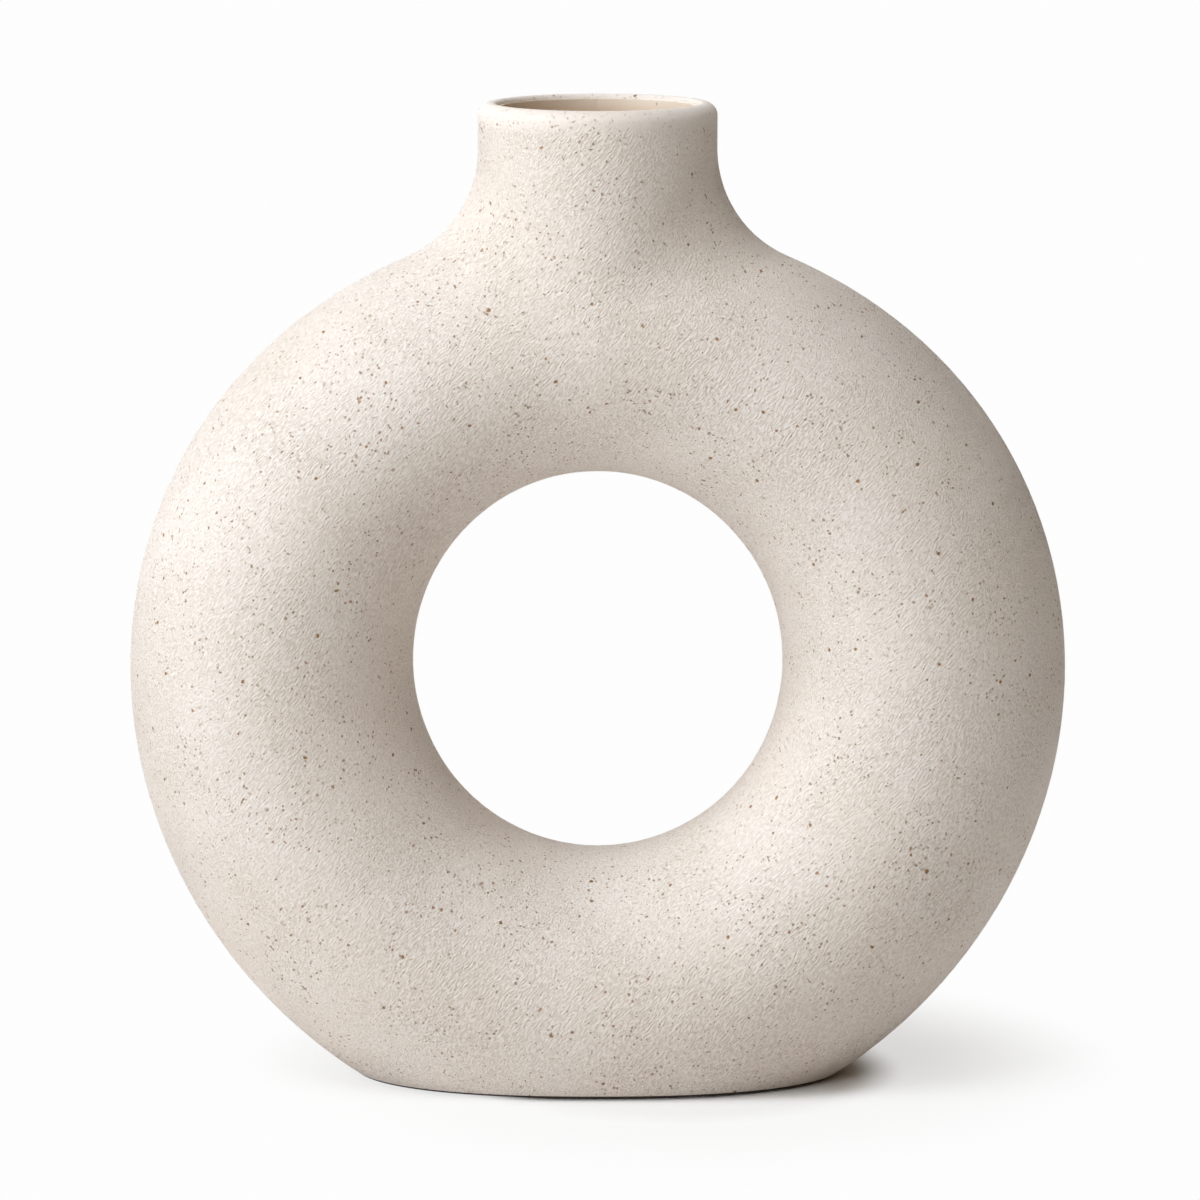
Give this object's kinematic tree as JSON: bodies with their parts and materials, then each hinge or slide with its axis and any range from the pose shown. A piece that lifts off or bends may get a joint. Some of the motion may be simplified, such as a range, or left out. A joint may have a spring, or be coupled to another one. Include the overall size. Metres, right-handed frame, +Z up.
{
  "type": "donut vase",
  "caption": "Upright ring-shaped stoneware vase with an open centre, a short round neck with a rolled lip, and a flattened oval foot.",
  "frame": {"origin": "on the floor at the centre of the vase's bounding box, under the hole", "axes": "+Z up from the foot to the mouth, +X across the face of the ring, +Y along the hole's axis from front to back"},
  "size_m": [0.2386, 0.0782, 0.25],
  "materials": {
    "stoneware": "matte, warm off-white with fine brown specks and a brushed relief",
    "clear_glaze": "satin clear glaze over the clay"
  },
  "bodies": {
    "root": {"ring_front": "stoneware", "ring_back": "stoneware", "neck": "stoneware", "foot_slab": "stoneware", "liner_glaze": "clear_glaze"}
  },
  "joints": []
}
